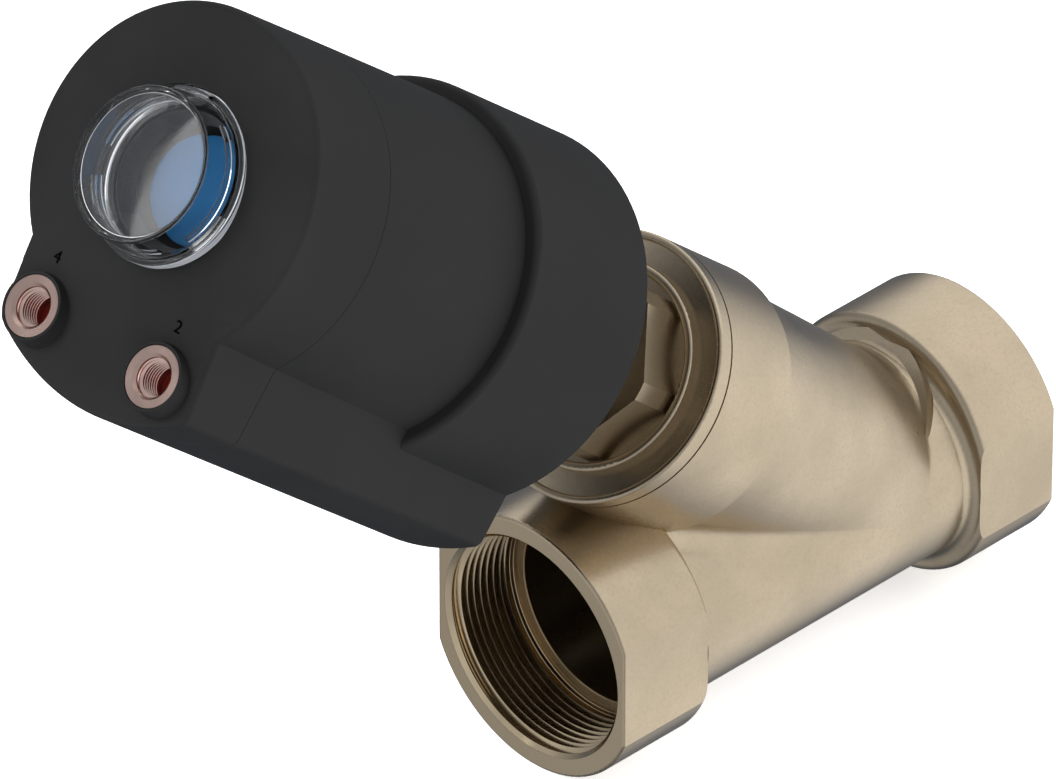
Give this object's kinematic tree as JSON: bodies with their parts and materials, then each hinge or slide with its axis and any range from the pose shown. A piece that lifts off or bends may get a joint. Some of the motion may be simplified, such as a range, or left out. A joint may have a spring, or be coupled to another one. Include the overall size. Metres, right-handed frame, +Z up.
{
  "type": "angle seat valve",
  "caption": "Pneumatic angle seat valve with a bronze threaded pipe body, slanted branch, black piston actuator and a clear dome over its position indicator.",
  "frame": {"origin": "centre of the inlet pipe end's face, on the pipe axis", "axes": "+X along the pipe from inlet to outlet, +Z up; the branch, stem and actuator lean back over the inlet in the XZ plane"},
  "size_m": [0.2976, 0.0936, 0.2591],
  "materials": {
    "bronze": "fine blasted nickel bronze casting with machined edges",
    "stainless": "turned",
    "spring_steel": "drawn wire",
    "copper": "turned copper alloy",
    "black_plastic": "fine matt grain",
    "blue_indicator": "smooth",
    "clear_dome": "clear polished plastic",
    "white_seal": "smooth",
    "red_rubber": "smooth",
    "black_rubber": "smooth"
  },
  "bodies": {
    "valve_body": {"valve_body": "bronze", "bonnet": "bronze", "bonnet_gasket": "white_seal", "packing_base_ring": "stainless", "chevron_packing": "white_seal", "packing_follower": "stainless", "packing_spring": "spring_steel", "gland_bush": "white_seal", "stem_wiper": "black_rubber", "actuator_nut": "stainless"},
    "actuator": {"actuator_housing": "black_plastic", "actuator_cover": "black_plastic", "cover_seal": "black_rubber", "view_dome": "clear_dome", "dome_seal": "black_rubber", "port_4_insert": "copper", "port_4_seal": "red_rubber", "port_2_insert": "copper", "port_2_seal": "red_rubber", "outer_spring": "spring_steel", "inner_spring": "spring_steel"},
    "stem": {"stem": "stainless", "plug_disc": "stainless", "plug_seal": "white_seal", "seal_washer": "stainless", "plug_nut": "stainless", "piston": "black_plastic", "piston_seal": "black_rubber", "piston_guide_ring": "white_seal", "piston_nut": "stainless", "position_indicator": "blue_indicator"}
  },
  "joints": [
    {"name": "actuator_swivel", "type": "hinge", "parent": "valve_body", "child": "actuator", "pos_m": [0.1074, 0, 0], "axis": [-0.7604, 0, 0.6494], "continuous": true},
    {"name": "stem_slide", "type": "slide", "parent": "valve_body", "child": "stem", "axis": [-0.7604, 0, 0.6494], "range_m": [0, 0.018], "stiffness_N_per_m": 4000, "springref_m": -0.01, "deforming": ["outer_spring", "inner_spring"]}
  ]
}
